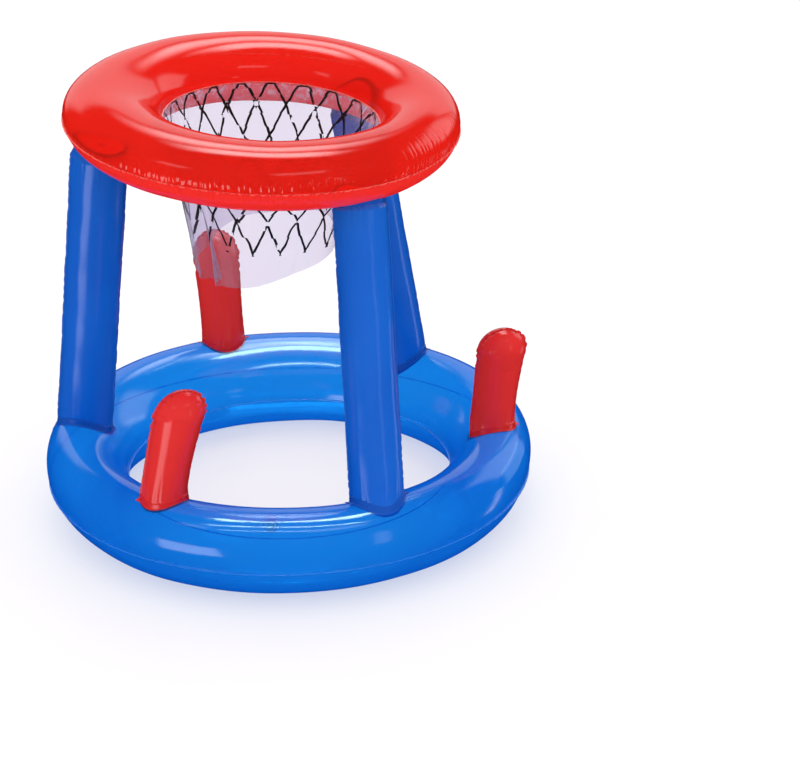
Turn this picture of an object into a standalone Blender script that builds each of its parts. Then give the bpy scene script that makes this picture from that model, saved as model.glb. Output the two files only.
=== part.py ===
"""Inflatable pool basketball hoop: a ring on three blown pillars over a floating base ring.

Every blown piece is two sheets of vinyl welded along a seam. The base ring carries three
pillars and three pegs, the pillars carry the hoop ring, and a clear film net hangs in the hoop.
"""
import math
from types import SimpleNamespace

import bmesh
import bpy
from mathutils import Matrix, Vector

# Place of the base ring in the part's frame
RING_FORWARD = 0.0205       # its middle lies this far in front of the part's middle

# Sheets, welds and clearances
SHEET = 0.001               # modelled wall; the real vinyl is about a quarter of this
FILM = 0.0008               # modelled wall of the clear net film
GAP = 0.0003                # between two pieces that are welded or pressed together
WELD = 0.00001              # merge distance of a sheet that closes on itself
OVERRUN = 0.01              # how far a cutter runs past what it cuts
SEAM_HEADING = math.radians(-15)   # the tubes are all welded on with their seams this way
RING_LIP = 0.003            # weld lip along a ring's two seams
PANEL_LIP = 0.0025          # weld lip along a pillar's or peg's seam
PANEL_LIP_END = 0.0004      # what is left of that lip at the two ends of a pillar

# Base ring
BASE_RADIUS = 0.279         # to the middle of the tube
BASE_HALF_WIDTH = 0.0525
BASE_HALF_HEIGHT = 0.0605
BASE_LEAN = 0.0125          # how far out the tube's crest leans
BASE_FLAT = 0.0095          # half the width of the band that lies on the ground
BASE_DROP_OUTSIDE = 0.0085  # outer seam below the middle of the tube
BASE_DROP_INSIDE = 0.0125   # inner seam below the middle of the tube
BASE_PINCH = 0.005          # how far the seam draws the inner wall out

# Hoop ring
HOOP_RADIUS = 0.2005
HOOP_HALF_WIDTH = 0.0575
HOOP_HALF_HEIGHT = 0.042
HOOP_LEAN = 0.0078
HOOP_FLAT = 0.008
HOOP_DROP_OUTSIDE = 0.001
HOOP_DROP_INSIDE = 0.003
HOOP_PINCH = 0
HOOP_HOLE_OFFSET = 0.014    # the hole sits this far off the ring's middle
HOOP_HOLE_HEADING = math.radians(5)
HOOP_HEIGHT = 0.5485        # middle of the hoop tube above the ground
HOOP_SWAY = 0.0218          # how far the soft pillars let the hoop lean aside
HOOP_SWAY_HEADING = math.radians(157)
HOOP_TILT = math.radians(4.4)
HOOP_TILT_HEADING = math.radians(28)

# Pillars: front, right and left, from foot to head
PILLAR_NAMES = ("front", "right", "left")
PILLAR_HEADINGS = (math.radians(-90), math.radians(30), math.radians(150))
PILLAR_HALF_WIDTHS = (0.0342, 0.0355, 0.0366)   # along the seam plane
PILLAR_HALF_DEPTH = 0.035    # across it
PILLAR_FOOT_SHIFT = 0.005   # foot outside the middle of the base tube
PILLAR_FOOT_SINK = 0.036    # how deep the uncut foot reaches into the base tube
PILLAR_HEAD_SINK = 0.038
PILLAR_HEAD_HEADINGS = (math.radians(-76), math.radians(33), math.radians(161))
PILLAR_HEAD_SHIFTS = (-0.003, 0.011, 0.014)
PILLAR_ROW_SHARES = (0, 0.13, 0.3, 0.5, 0.7)
PILLAR_NECK_START = 0.0607   # where the neck draws in, before the head's sunk end
PILLAR_NECK_END = 0.0397
PILLAR_GIRTH_SHARES = (1.02, 0.98, 1, 1, 1, 1, 0.84, 0.8)

# Pegs: on the base ring between the pillars
PEG_NAMES = ("right", "back", "left")
PEG_HEADINGS = (math.radians(-31), math.radians(85), math.radians(-148))
PEG_SHIFTS = (0, 0.0165, 0.003)
PEG_HEIGHT = 0.1505         # above the base ring's crest
PEG_SINK = 0.034
PEG_FOOT_HALF_WIDTH = 0.0295
PEG_WAIST_HALF_WIDTH = 0.0275
PEG_SHOULDER_HALF_WIDTH = 0.0325
PEG_HALF_DEPTH = 0.0305
PEG_LEANS = (0.036, 0.057, 0.0345)
PEG_LEAN_HEADINGS = (math.radians(-91), math.radians(76), math.radians(-40))
PEG_BEND_POWER = 1.2        # 1 for a straight lean, more for a bend near the top

# Weld collars at the feet and heads
COLLAR_HEIGHT = 0.009
COLLAR_FLARE = 0.0025
COLLAR_SINK = 0.006

# Air holes that join the chambers
AIR_HOLE_RADIUS = 0.0025

# Clear film net
NET_DROP = 0.182            # from the hoop's inner seam to the film's lower edge
NET_SLANT = 0.024           # how much further it hangs on one side
NET_SLANT_HEADING = math.radians(185)
NET_BOTTOM_RADIUS = 0.093
NET_SHARES = (0.06, 0.28, 0.52, 0.76, 1)
NET_TAPER_SHARES = (0.03, 0.28, 0.56, 0.8, 1)
NET_WAVE_SHARE = 0.035
NET_WAVES = 5

# Inflation valve on the inner wall of the base ring
VALVE_HEADING = math.radians(-120)
VALVE_RISE = math.radians(172)   # round the tube from its outermost line
FLANGE_RADIUS = 0.011
FLANGE_RISE = 0.0013
FLANGE_SINK = 0.004
STEM_RADIUS = 0.005
STEM_BORE_RADIUS = 0.0033
STEM_LENGTH = 0.016         # outside the ring
STEM_TAIL = 0.0065          # inside the ring
STOP_RADIUS = 0.0064
STOP_HEIGHT = 0.0012
PLUG_LENGTH = 0.007
PLUG_HEAD_RADIUS = 0.0058
PLUG_HEAD_HEIGHT = 0.0014
STRAP_WIDTH = 0.003
STRAP_DROP = 0.003          # strap's root below the mouth of the stem
STRAP_BOW = 0.0045
STRAP_WALL = 0.0008
FLAP_RADIUS = 0.0043
FLAP_WALL = 0.0006

# Mesh counts
ROUND = 36                  # steps round a ring
SHEET_STEPS = 8             # steps over a ring sheet, from seam to seam
PANEL_STEPS = 7
PEG_SIDE_STEPS = 3
PEG_TOP_STEPS = 6
PEG_ACROSS_STEPS = 4
COLLAR_STEPS = 16
SMALL_STEPS = 16
STRAP_STEPS = 8
UNIT_HALF_SHARE = 0.5       # half of a unit grid

# Colours: red, green, blue and opacity
BASE_BLUE = (0.02, 0.2, 0.75, 0.9)
PILLAR_BLUE = (0.015, 0.1, 0.52, 1)
HOOP_RED = (0.85, 0.03, 0.02, 0.95)
PEG_RED = (0.65, 0.02, 0.03, 1)
WELD_BLUE = (0.01, 0.06, 0.36, 1)
WELD_RED = (0.5, 0.01, 0.02, 1)
CLEAR = (0.82, 0.82, 0.95, 0.35)
VALVE_CLEAR = (0.85, 0.9, 0.95, 0.7)

for old in list(bpy.data.objects):
    bpy.data.objects.remove(old)
parts = bpy.data.collections.new("pool_basketball_hoop")
cutters = bpy.data.collections.new("pool_basketball_hoop_cutters")
bpy.context.scene.collection.children.link(parts)
bpy.context.scene.collection.children.link(cutters)


# Helpers for objects, sheets and turned pieces

def finish(obj, colour, roughness):
    """Give the object a plain gloss material of its own."""
    material = bpy.data.materials.new(obj.name)
    material.use_nodes = True
    shader = material.node_tree.nodes["Principled BSDF"]
    shader.inputs["Base Color"].default_value = colour[:3] + (1,)
    shader.inputs["Alpha"].default_value = colour[3]
    shader.inputs["Roughness"].default_value = roughness
    shader.inputs["Metallic"].default_value = 0
    obj.data.materials.append(material)


def mesh_object(name, shape, collection=parts):
    """Turn a bmesh into an object that is shaded smooth."""
    mesh = bpy.data.meshes.new(name)
    shape.to_mesh(mesh)
    shape.free()
    mesh.shade_smooth()
    obj = bpy.data.objects.new(name, mesh)
    collection.objects.link(obj)
    return obj


def hide_cutter(obj):
    obj.hide_render = True
    obj.display_type = "WIRE"


def placed_grid(columns, rows, place, flip=False):
    """A grid whose vertex of column i and row j goes to place(i, j), welded where it meets."""
    shape = bmesh.new()
    bmesh.ops.create_grid(shape, x_segments=columns, y_segments=rows, size=UNIT_HALF_SHARE)
    for vert in shape.verts:
        column = round((vert.co.x + UNIT_HALF_SHARE) * columns)
        row = round((vert.co.y + UNIT_HALF_SHARE) * rows)
        vert.co = place(column, row)
    bmesh.ops.remove_doubles(shape, verts=shape.verts, dist=WELD)
    if flip:
        bmesh.ops.reverse_faces(shape, faces=shape.faces)
    return shape


def thicken(obj, wall, offset=-1):
    shell = obj.modifiers.new("wall", "SOLIDIFY")
    shell.thickness = wall
    shell.offset = offset
    shell.use_even_offset = True


def cut(obj, cutter):
    boolean = obj.modifiers.new("cut by " + cutter.name, "BOOLEAN")
    boolean.operation = "DIFFERENCE"
    boolean.solver = "EXACT"
    boolean.object = cutter


def turned(name, profile, collection=parts):
    """Turn a profile of (radius, height) about Z; it runs down its outer side."""
    mesh = bpy.data.meshes.new(name)
    closed = profile[0][0] > 0
    edges = [(k, k + 1) for k in range(len(profile) - 1)]
    if closed:
        edges.append((len(profile) - 1, 0))
    mesh.from_pydata([(radius, 0, height) for radius, height in profile], edges, [])
    obj = bpy.data.objects.new(name, mesh)
    collection.objects.link(obj)
    screw = obj.modifiers.new("turn", "SCREW")
    screw.steps = SMALL_STEPS
    screw.render_steps = SMALL_STEPS
    screw.use_merge_vertices = True
    screw.merge_threshold = WELD
    screw.use_smooth_shade = True
    return obj


def heading(angle):
    return Vector((math.cos(angle), math.sin(angle), 0))


def even_angles(start, end, steps):
    return [start + (end - start) * step / steps for step in range(steps + 1)]


# Blown rings

def blown_ring(radius, half_width, half_height, lean, flat, drops, pinch, hole_offset, seam_gap):
    """Sizes of one ring, with the section angles at which its sheets have their edges."""
    outside = -math.asin(drops[0] / half_height)
    inside = math.pi + math.asin(drops[1] / half_height)
    flat_angle = math.asin(flat / math.sqrt(half_width ** 2 - lean ** 2))
    ground = -math.pi / 2
    half_steps = SHEET_STEPS // 2
    upper = even_angles(inside, outside, SHEET_STEPS)
    lower = even_angles(outside, ground + flat_angle, half_steps)
    lower += even_angles(ground - flat_angle, inside - 2 * math.pi, half_steps)
    bottom = half_height * math.cos(flat_angle) + seam_gap
    return SimpleNamespace(radius=radius, half_width=half_width, half_height=half_height,
                           lean=lean, pinch=pinch, hole_offset=hole_offset,
                           seam_gap=seam_gap, upper=upper, lower=lower, bottom=bottom)


def ring_point(ring, around, angle, grow=0, lip=0):
    """Point of the ring's skin, before its two sheets part at the seam."""
    out = heading(around)
    shift = out.dot(ring.hole_offset) / 2
    half_width = ring.half_width - shift + grow
    width = math.sqrt(half_width ** 2 - ring.lean ** 2)
    across = width * math.cos(angle) + ring.lean * math.sin(angle) + lip
    across -= ring.pinch * max(-math.cos(angle), 0) ** 4
    up = (ring.half_height + grow) * math.sin(angle)
    return out * (ring.radius + shift + across) + Vector((0, 0, up))


def spine_point(ring, around, shift):
    out = heading(around)
    return out * (ring.radius + out.dot(ring.hole_offset) / 2 + shift)


def depth_in_ring(ring, point):
    """Below 1 inside the skin, above 1 outside it."""
    around = math.atan2(point.y, point.x)
    out = heading(around)
    shift = out.dot(ring.hole_offset) / 2
    half_width = ring.half_width - shift
    width = math.sqrt(half_width ** 2 - ring.lean ** 2)
    up = point.z / ring.half_height
    across = Vector((point.x, point.y)).length - ring.radius - shift
    return math.hypot((across - ring.lean * up) / width, up)


def way_out(ring, start, direction, reach):
    """Distance from a start inside the ring to its skin."""
    near, far = 0, reach
    for _ in range(30):
        middle = (near + far) / 2
        if depth_in_ring(ring, start + direction * middle) < 1:
            near = middle
        else:
            far = middle
    return far


def ring_sheet(name, ring, upper, parent, colour, roughness):
    """One half of a ring, with a weld lip at its inner and its outer seam."""
    angles = ring.upper if upper else ring.lower
    side = 1 if upper else -1
    stations = [(angles[0], -side * RING_LIP)]
    stations += [(angle, 0) for angle in angles]
    stations += [(angles[-1], side * RING_LIP)]

    def place(column, row):
        angle, lip = stations[column]
        point = ring_point(ring, 2 * math.pi * (row % ROUND) / ROUND, angle, 0, lip)
        return point + Vector((0, 0, side * ring.seam_gap))

    obj = mesh_object(name, placed_grid(len(stations) - 1, ROUND, place))
    obj.parent = parent
    thicken(obj, SHEET)
    finish(obj, colour, roughness)
    return obj


def ring_cutter(name, ring, parent):
    """The ring's own form, larger by the gap, which cuts what is welded onto it."""
    stations = [(angle, 1) for angle in ring.upper] + [(angle, -1) for angle in ring.lower]
    count = len(stations)

    def place(column, row):
        angle, side = stations[column % count]
        point = ring_point(ring, 2 * math.pi * (row % ROUND) / ROUND, angle, GAP)
        return point + Vector((0, 0, side * ring.seam_gap))

    obj = mesh_object(name, placed_grid(count, ROUND, place), cutters)
    obj.parent = parent
    hide_cutter(obj)
    return obj


def air_hole_cutter(name, spots, parent):
    """A pin through the sheet at each spot."""
    shape = bmesh.new()
    for spot in spots:
        bmesh.ops.create_cone(shape, cap_ends=True, segments=SMALL_STEPS, radius1=AIR_HOLE_RADIUS,
                              radius2=AIR_HOLE_RADIUS, depth=2 * OVERRUN,
                              matrix=Matrix.Translation(spot))
    obj = mesh_object(name, shape, cutters)
    obj.parent = parent
    hide_cutter(obj)
    return obj


# Blown pillars, pegs and their weld collars

def tube_axes(direction, seam):
    """Unit vectors of a tube: along it, across in the seam plane, and out of that plane."""
    along = direction.normalized()
    across = (seam - along * seam.dot(along)).normalized()
    return along, across, along.cross(across)


def pillar_panel(name, foot, head, seam, half_width, side):
    """One of the two sheets of a pillar, on one side of its seam plane."""
    along, across, out = tube_axes(head - foot, seam)
    length = (head - foot).length
    start = 0 if side > 0 else math.pi
    angles = even_angles(start, start + math.pi, PANEL_STEPS)
    lips = [PANEL_LIP] + [0] * len(angles) + [PANEL_LIP]
    angles = [angles[0]] + angles + [angles[-1]]
    rises = [length * share for share in PILLAR_ROW_SHARES]
    rises += [length - PILLAR_NECK_START, length - PILLAR_NECK_END, length]
    last = len(rises) - 1

    def place(column, row):
        girth = PILLAR_GIRTH_SHARES[row]
        lip = lips[column]
        if lip and row in (0, 1, last - 1, last):
            lip = PANEL_LIP_END
        wide = half_width * girth + lip
        deep = PILLAR_HALF_DEPTH * girth
        point = foot + along * rises[row]
        point += across * (wide * math.cos(angles[column]))
        point += out * (deep * math.sin(angles[column]) + side * (SHEET + GAP / 2))
        return point

    obj = mesh_object(name, placed_grid(len(angles) - 1, last, place))
    thicken(obj, SHEET)
    return obj


def peg_half_width(height):
    """Half width in the seam plane: flared foot, drawn-in waist, full shoulder."""
    share = min(max(height / (PEG_HEIGHT - PEG_SHOULDER_HALF_WIDTH), 0), 1)
    flare = (PEG_FOOT_HALF_WIDTH - PEG_WAIST_HALF_WIDTH) * (1 - share) ** 3
    shoulder = (PEG_SHOULDER_HALF_WIDTH - PEG_WAIST_HALF_WIDTH) * share ** 2
    return PEG_WAIST_HALF_WIDTH + flare + shoulder


def peg_panel(name, foot, seam, lean, side):
    """One of the two tongue-shaped sheets of a peg."""
    up, across, out = tube_axes(Vector((0, 0, 1)), seam)
    top_centre = PEG_HEIGHT - PEG_SHOULDER_HALF_WIDTH
    heights = [-PEG_SINK] + even_angles(0, top_centre, PEG_SIDE_STEPS)
    outline = [(height, 0) for height in heights]
    outline += [(top_centre, turn) for turn in even_angles(0, math.pi, PEG_TOP_STEPS)[1:]]
    outline += [(height, math.pi) for height in reversed(heights[:-1])]

    def place(column, row):
        height, turn = outline[row]
        reach = peg_half_width(height)
        lip = PANEL_LIP if column == 0 and height > 0 else 0
        if column == 0 and height <= 0:
            lip = PANEL_LIP_END
        angle = math.pi / 2 * max(column - 1, 0) / PEG_ACROSS_STEPS
        reach = reach * math.cos(angle) + lip
        rise = height + reach * math.sin(turn)
        point = foot + across * (reach * math.cos(turn)) + up * rise
        point += out * side * (PEG_HALF_DEPTH * math.sin(angle) + SHEET + GAP)
        bend = max(rise - COLLAR_HEIGHT, 0) / (PEG_HEIGHT - COLLAR_HEIGHT)
        return point + lean * bend ** PEG_BEND_POWER

    grid = placed_grid(PEG_ACROSS_STEPS + 1, len(outline) - 1, place, side < 0)
    obj = mesh_object(name, grid)
    thicken(obj, SHEET)
    return obj


def weld_collar(name, ring, to_ring, centre, direction, seam, half_width, half_depth, spread=0):
    """The doubled band where a tube is welded onto a ring, following the ring's skin."""
    along, across, out = tube_axes(direction, seam)
    from_ring = to_ring.inverted()
    local_along = (to_ring.to_3x3() @ along).normalized()
    clear = PANEL_LIP_END + GAP + SHEET
    rows = ((-COLLAR_SINK, COLLAR_FLARE), (COLLAR_FLARE, COLLAR_FLARE / 2 + spread / 2),
            (COLLAR_HEIGHT, spread))
    reach = 2 * (ring.half_width + ring.half_height)
    corner = 1 / math.cos(math.pi / COLLAR_STEPS)   # keeps the flats of the band off the tube

    def place(column, row):
        turn = 2 * math.pi * (column % COLLAR_STEPS) / COLLAR_STEPS
        rise, flare = rows[row]
        wide = (half_width + clear + flare) * corner
        deep = (half_depth + clear + SHEET + GAP + flare) * corner
        spot = centre + across * (wide * math.cos(turn)) + out * (deep * math.sin(turn))
        local = to_ring @ spot
        skin = way_out(ring, local, local_along, reach)
        return from_ring @ (local + local_along * (skin + rise))

    obj = mesh_object(name, placed_grid(COLLAR_STEPS, len(rows) - 1, place))
    thicken(obj, SHEET)
    return obj


# Base ring and hoop ring

BASE = blown_ring(BASE_RADIUS, BASE_HALF_WIDTH, BASE_HALF_HEIGHT, BASE_LEAN, BASE_FLAT,
                  (BASE_DROP_OUTSIDE, BASE_DROP_INSIDE), BASE_PINCH, Vector((0, 0, 0)),
                  SHEET + GAP / 2)
HOOP = blown_ring(HOOP_RADIUS, HOOP_HALF_WIDTH, HOOP_HALF_HEIGHT, HOOP_LEAN, HOOP_FLAT,
                  (HOOP_DROP_OUTSIDE, HOOP_DROP_INSIDE), HOOP_PINCH,
                  heading(HOOP_HOLE_HEADING) * HOOP_HOLE_OFFSET, SHEET + FILM / 2 + GAP)

ring_middle = Vector((0, -RING_FORWARD, 0))
base_frame = bpy.data.objects.new("base_frame", None)
base_frame.matrix_world = Matrix.Translation(ring_middle + Vector((0, 0, BASE.bottom)))
hoop_middle = ring_middle + heading(HOOP_SWAY_HEADING) * HOOP_SWAY + Vector((0, 0, HOOP_HEIGHT))
hoop_frame = bpy.data.objects.new("hoop_frame", None)
hoop_frame.matrix_world = (
    Matrix.Translation(hoop_middle)
    @ Matrix.Rotation(HOOP_TILT, 4, heading(HOOP_TILT_HEADING)))
for frame in (base_frame, hoop_frame):
    parts.objects.link(frame)
bpy.context.view_layer.update()
base_place = base_frame.matrix_world.copy()
hoop_place = hoop_frame.matrix_world.copy()

base_upper = ring_sheet("base_ring_upper_sheet", BASE, True, base_frame, BASE_BLUE, 0.12)
base_lower = ring_sheet("base_ring_lower_sheet", BASE, False, base_frame, BASE_BLUE, 0.12)
hoop_upper = ring_sheet("hoop_ring_upper_sheet", HOOP, True, hoop_frame, HOOP_RED, 0.12)
hoop_lower = ring_sheet("hoop_ring_lower_sheet", HOOP, False, hoop_frame, HOOP_RED, 0.12)
base_form = ring_cutter("base_form", BASE, base_frame)
hoop_form = ring_cutter("hoop_form", HOOP, hoop_frame)

# Pillars with their foot and head welds
crest = Vector((0, 0, BASE.half_height))
underside = Vector((0, 0, -HOOP.half_height))
seam_way = heading(SEAM_HEADING)
foot_spots = []
head_spots = []
for k, name in enumerate(PILLAR_NAMES):
    half_width = PILLAR_HALF_WIDTHS[k]
    foot_spot = spine_point(BASE, PILLAR_HEADINGS[k], PILLAR_FOOT_SHIFT) + crest
    head_spot = spine_point(HOOP, PILLAR_HEAD_HEADINGS[k], PILLAR_HEAD_SHIFTS[k]) + underside
    foot_spots.append(foot_spot)
    head_spots.append(head_spot)
    foot = base_place @ (foot_spot - Vector((0, 0, PILLAR_FOOT_SINK)))
    head = hoop_place @ (head_spot + Vector((0, 0, PILLAR_HEAD_SINK)))
    for side, letter in ((1, "a"), (-1, "b")):
        panel = pillar_panel("pillar_" + name + "_panel_" + letter, foot, head, seam_way,
                             half_width, side)
        cut(panel, base_form)
        cut(panel, hoop_form)
        finish(panel, PILLAR_BLUE, 0.2)
    foot_weld = weld_collar("pillar_" + name + "_foot_weld", BASE, base_place.inverted(), foot,
                            head - foot, seam_way, half_width, PILLAR_HALF_DEPTH)
    cut(foot_weld, base_form)
    finish(foot_weld, WELD_BLUE, 0.25)
    neck = PILLAR_GIRTH_SHARES[-2]
    neck_length = PILLAR_NECK_START - PILLAR_NECK_END
    spread = max(half_width, PILLAR_HALF_DEPTH) * (1 - neck) * COLLAR_HEIGHT / neck_length
    head_weld = weld_collar("pillar_" + name + "_head_weld", HOOP, hoop_place.inverted(), head,
                            foot - head, seam_way, half_width * neck,
                            PILLAR_HALF_DEPTH * neck, spread)
    cut(head_weld, hoop_form)
    finish(head_weld, WELD_BLUE, 0.25)

# Pegs for ring toss, with their foot welds
for k, name in enumerate(PEG_NAMES):
    foot_spot = spine_point(BASE, PEG_HEADINGS[k], PEG_SHIFTS[k]) + crest
    foot_spots.append(foot_spot)
    foot = base_place @ foot_spot
    lean = heading(PEG_LEAN_HEADINGS[k]) * PEG_LEANS[k]
    for side, letter in ((1, "a"), (-1, "b")):
        panel = peg_panel("peg_" + name + "_panel_" + letter, foot, seam_way, lean, side)
        cut(panel, base_form)
        finish(panel, PEG_RED, 0.2)
    sunk = foot - Vector((0, 0, PEG_SINK))
    foot_weld = weld_collar("peg_" + name + "_foot_weld", BASE, base_place.inverted(), sunk,
                            Vector((0, 0, 1)), seam_way, PEG_FOOT_HALF_WIDTH, PEG_HALF_DEPTH)
    cut(foot_weld, base_form)
    finish(foot_weld, WELD_RED, 0.25)

# Air holes under every pillar and peg, and over every pillar
cut(base_upper, air_hole_cutter("base_air_holes", foot_spots, base_frame))
cut(hoop_lower, air_hole_cutter("hoop_air_holes", head_spots, hoop_frame))

# Clear film net, its top edge caught in the hoop's inner seam
inner_angle = HOOP.upper[0]
net_stations = [RING_LIP / 4, RING_LIP + FILM]


def net_place(column, row):
    around = 2 * math.pi * (row % ROUND) / ROUND
    if column < len(net_stations):
        return ring_point(HOOP, around, inner_angle, 0, -net_stations[column])
    k = column - len(net_stations)
    rim = ring_point(HOOP, around, inner_angle, 0, -net_stations[-1])
    middle = HOOP.hole_offset + Vector((0, 0, rim.z))
    reach = (rim - middle).length
    wave = 1 + NET_WAVE_SHARE * NET_SHARES[k] * math.sin(NET_WAVES * around)
    radius = (reach + (NET_BOTTOM_RADIUS - reach) * NET_TAPER_SHARES[k]) * wave
    drop = NET_DROP + NET_SLANT * math.cos(around - NET_SLANT_HEADING)
    return middle + (rim - middle) * (radius / reach) - Vector((0, 0, drop * NET_SHARES[k]))


net_columns = len(net_stations) + len(NET_SHARES) - 1
net = mesh_object("net_film", placed_grid(net_columns, ROUND, net_place))
net.parent = hoop_frame
thicken(net, FILM, 0)
finish(net, CLEAR, 0.08)

# Inflation valve: flange, sliding stem, strap, plug and check flap
valve_spot = ring_point(BASE, VALVE_HEADING, VALVE_RISE) + Vector((0, 0, BASE.seam_gap))
flat_width = math.sqrt(BASE.half_width ** 2 - BASE.lean ** 2)
valve_out = (heading(VALVE_HEADING) * (BASE.half_height * math.cos(VALVE_RISE))
             + Vector((0, 0, 1)) * (flat_width * math.sin(VALVE_RISE)
                                    - BASE.lean * math.cos(VALVE_RISE))).normalized()
valve_side = Vector((0, 0, 1)).cross(valve_out).normalized()
valve_up = valve_out.cross(valve_side)
valve_turn = Matrix((valve_side, valve_up, valve_out)).transposed().to_4x4()
valve_frame = bpy.data.objects.new("valve_frame", None)
valve_frame.matrix_world = base_place @ Matrix.Translation(valve_spot) @ valve_turn
parts.objects.link(valve_frame)

hole = STEM_RADIUS + GAP
flange = turned("valve_flange", [(FLANGE_RADIUS, FLANGE_RISE), (FLANGE_RADIUS, -FLANGE_SINK),
                                 (hole, -FLANGE_SINK), (hole, FLANGE_RISE)])
cut(flange, base_form)
stem = turned("valve_stem", [(STEM_RADIUS, STEM_LENGTH), (STEM_RADIUS, STOP_HEIGHT - STEM_TAIL),
                             (STOP_RADIUS, STOP_HEIGHT - STEM_TAIL), (STOP_RADIUS, -STEM_TAIL),
                             (STEM_BORE_RADIUS, -STEM_TAIL), (STEM_BORE_RADIUS, STEM_LENGTH)])
plug_seat = STEM_LENGTH + GAP
plug_radius = STEM_BORE_RADIUS - GAP
plug = turned("valve_plug", [(0, plug_seat + PLUG_HEAD_HEIGHT),
                             (PLUG_HEAD_RADIUS, plug_seat + PLUG_HEAD_HEIGHT),
                             (PLUG_HEAD_RADIUS, plug_seat), (plug_radius, plug_seat),
                             (plug_radius, plug_seat - PLUG_LENGTH),
                             (0, plug_seat - PLUG_LENGTH)])
flap = turned("valve_flap", [(0, 0), (FLAP_RADIUS, 0), (FLAP_RADIUS, -FLAP_WALL),
                             (0, -FLAP_WALL)])
flap_hinge = bpy.data.objects.new("flap_hinge", None)
flap_hinge.location = (FLAP_RADIUS, 0, -STEM_TAIL - GAP)
flap_hinge.parent = valve_frame
parts.objects.link(flap_hinge)
flap.location = (-FLAP_RADIUS, 0, 0)


def strap_place(column, row):
    """A band that leaves the stem, bows out and comes back to the plug's head."""
    root = Vector((STEM_RADIUS + GAP, 0, STEM_LENGTH - STRAP_DROP))
    tip = Vector((PLUG_HEAD_RADIUS + GAP, 0, plug_seat + PLUG_HEAD_HEIGHT / 2))
    share = row / STRAP_STEPS
    bow = math.sin(math.pi * share) * STRAP_BOW
    middle = root.lerp(tip, share) + Vector((bow, 0, 0))
    return middle + Vector((0, (column - UNIT_HALF_SHARE) * STRAP_WIDTH, 0))


strap = mesh_object("valve_strap", placed_grid(1, STRAP_STEPS, strap_place))
thicken(strap, STRAP_WALL, 1)
for piece in (flange, stem, plug, flap, strap):
    piece.parent = flap_hinge if piece is flap else valve_frame
    finish(piece, VALVE_CLEAR, 0.2)

# The sheet's hole for the valve stem and its stop
valve_hole = turned("valve_hole", [(0, OVERRUN), (STOP_RADIUS + GAP, OVERRUN),
                                   (STOP_RADIUS + GAP, -OVERRUN), (0, -OVERRUN)], cutters)
valve_hole.parent = valve_frame
hide_cutter(valve_hole)
cut(base_upper, valve_hole)
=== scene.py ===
import math
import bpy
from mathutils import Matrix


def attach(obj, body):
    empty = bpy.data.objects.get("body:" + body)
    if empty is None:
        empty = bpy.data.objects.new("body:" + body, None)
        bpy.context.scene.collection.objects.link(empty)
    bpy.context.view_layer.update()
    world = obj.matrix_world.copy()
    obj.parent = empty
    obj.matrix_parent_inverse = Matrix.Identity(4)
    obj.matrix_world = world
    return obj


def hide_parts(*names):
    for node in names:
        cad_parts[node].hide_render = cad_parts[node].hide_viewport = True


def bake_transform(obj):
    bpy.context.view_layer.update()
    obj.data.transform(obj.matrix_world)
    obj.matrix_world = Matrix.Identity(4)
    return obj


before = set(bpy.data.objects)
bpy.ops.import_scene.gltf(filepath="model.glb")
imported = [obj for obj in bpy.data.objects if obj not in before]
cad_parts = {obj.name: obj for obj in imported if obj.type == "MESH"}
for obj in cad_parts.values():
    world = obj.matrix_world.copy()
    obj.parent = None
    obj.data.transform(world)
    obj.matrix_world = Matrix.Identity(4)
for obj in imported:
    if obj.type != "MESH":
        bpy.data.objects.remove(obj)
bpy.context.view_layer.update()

from types import SimpleNamespace

import bmesh
import bpy
import numpy as np
from mathutils import Euler, Matrix, Vector


# Studio. A seamless white floor, partly glowing so that shadows stay faint, in even light.
# The gloss of the vinyl shows soft cards that light nothing else: two bright ones high at
# the back, dim walls at the back and right, and windows at the left, right and front.

CAMERA_PLACE = (-1.2646, -2.9997, 1.5963)
CAMERA_TURN = (1.15554, 0.01162, -0.45388)
CAMERA_LENS = 117            # millimetres, on a sensor 36 mm wide
WORLD_COLOUR = (0.985, 0.99, 1, 1)
WORLD_STRENGTH = 1.45


def show(obj):
    bpy.context.scene.collection.objects.link(obj)


camera = bpy.data.objects.new("camera", bpy.data.cameras.new("camera"))
camera.data.lens = CAMERA_LENS
camera.data.sensor_width = 36
camera.location = CAMERA_PLACE
camera.rotation_euler = CAMERA_TURN
show(camera)
bpy.context.scene.camera = camera
bpy.context.scene.view_settings.view_transform = "Standard"

world = bpy.data.worlds.new("studio")
world.use_nodes = True
sky = world.node_tree.nodes["Background"]
sky.inputs["Color"].default_value = WORLD_COLOUR
sky.inputs["Strength"].default_value = WORLD_STRENGTH
bpy.context.scene.world = world
world.cycles_visibility.glossy = False

ROOM_MIDDLE = Vector((0, 0, 0.3))
ROOM_REACH = 3               # from the middle to every lamp and card


def aimed(name, data, around, rise):
    """An object that looks at the middle from a heading and a rise in degrees."""
    obj = bpy.data.objects.new(name, data)
    around, rise = math.radians(around), math.radians(rise)
    way = Vector((math.cos(around) * math.cos(rise), math.sin(around) * math.cos(rise),
                  math.sin(rise)))
    obj.location = ROOM_MIDDLE + way * ROOM_REACH
    obj.rotation_euler = (-way).to_track_quat("-Z", "Y").to_euler()
    show(obj)
    return obj


def lamp(name, around, rise, width, height, radiance):
    """A flat lamp of this radiance."""
    data = bpy.data.lights.new(name, "AREA")
    data.shape = "RECTANGLE"
    data.size = width
    data.size_y = height
    data.energy = radiance * math.pi * width * height
    obj = aimed(name, data, around, rise)
    obj.visible_camera = False
    return obj


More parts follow.
